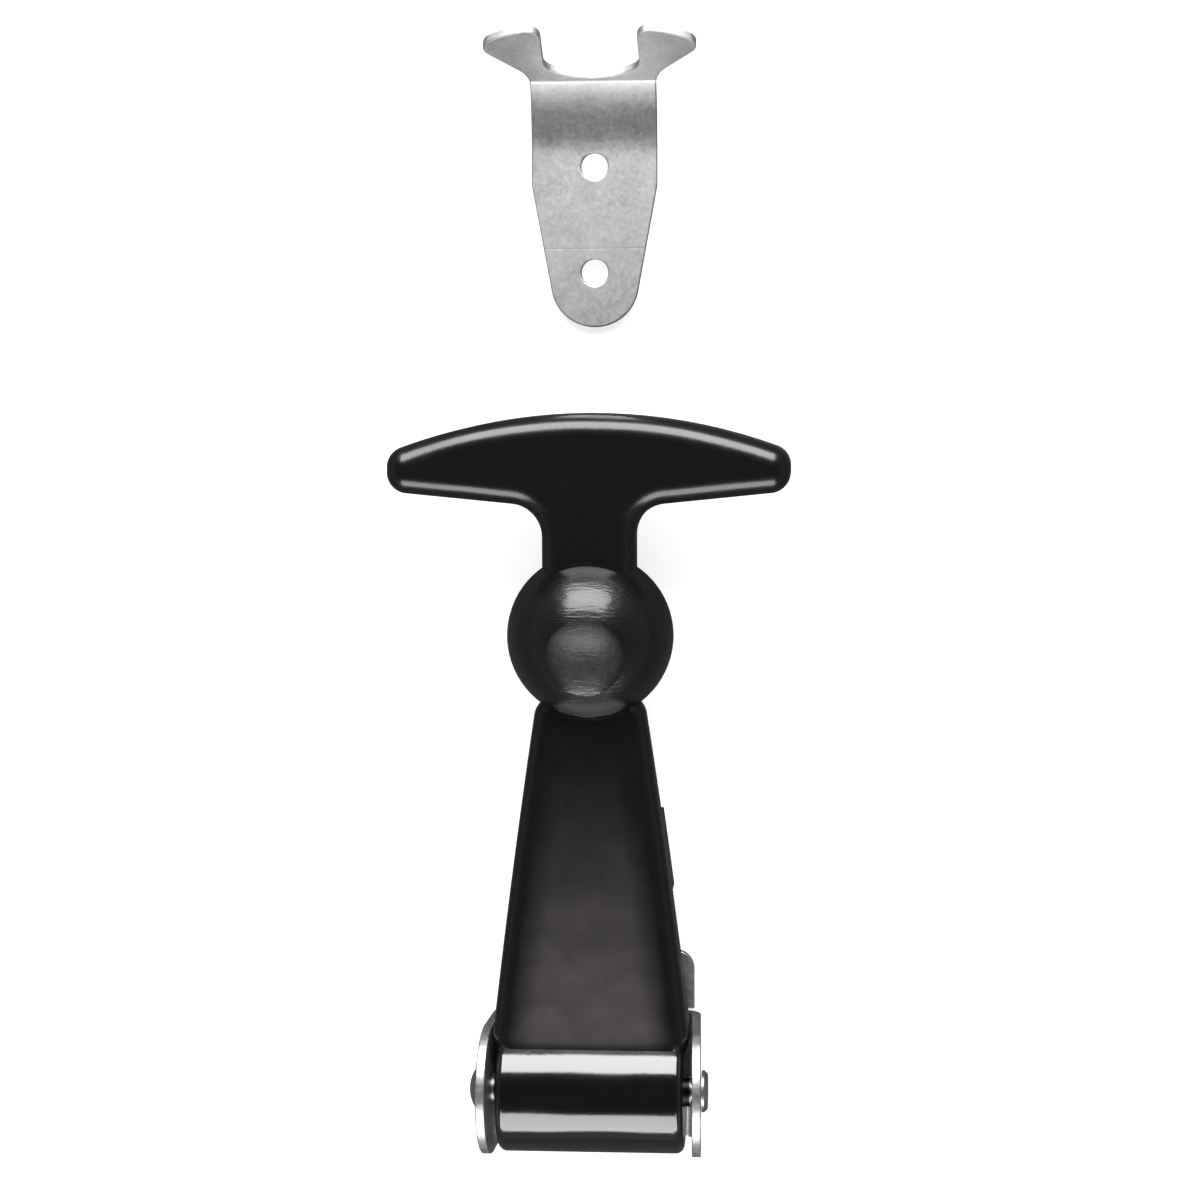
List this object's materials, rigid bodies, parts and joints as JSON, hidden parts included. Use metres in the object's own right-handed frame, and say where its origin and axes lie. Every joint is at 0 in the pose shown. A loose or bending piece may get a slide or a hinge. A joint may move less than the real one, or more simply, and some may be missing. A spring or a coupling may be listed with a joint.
{
  "type": "rubber draw latch",
  "caption": "Moulded rubber T handle with a ball and a tapered strap, hinged on a pressed steel bracket, with its forked steel keeper.",
  "frame": {"origin": "on the mounting face of the hinge bracket, straight under the hinge pin's axis", "axes": "+X along the hinge pin, +Y from the hinge towards the T grip, +Z out of the mounting surface"},
  "size_m": [0.061, 0.1725, 0.025],
  "materials": {
    "bracket_steel": "bright zinc plate",
    "rivet_steel": "bright zinc plate",
    "black_rubber": "smooth moulded rubber with a soft gloss",
    "keeper_steel": "satin zinc plate"
  },
  "bodies": {
    "base": {"base_bracket": "bracket_steel", "hinge_rivet": "rivet_steel", "keeper": "keeper_steel"},
    "handle": {"rubber_handle": "black_rubber"}
  },
  "joints": [
    {"name": "handle_swing", "type": "hinge", "parent": "base", "child": "handle", "pos_m": [0, 0, 0.0118], "axis": [1, 0, 0], "range_deg": [0, 178]}
  ]
}
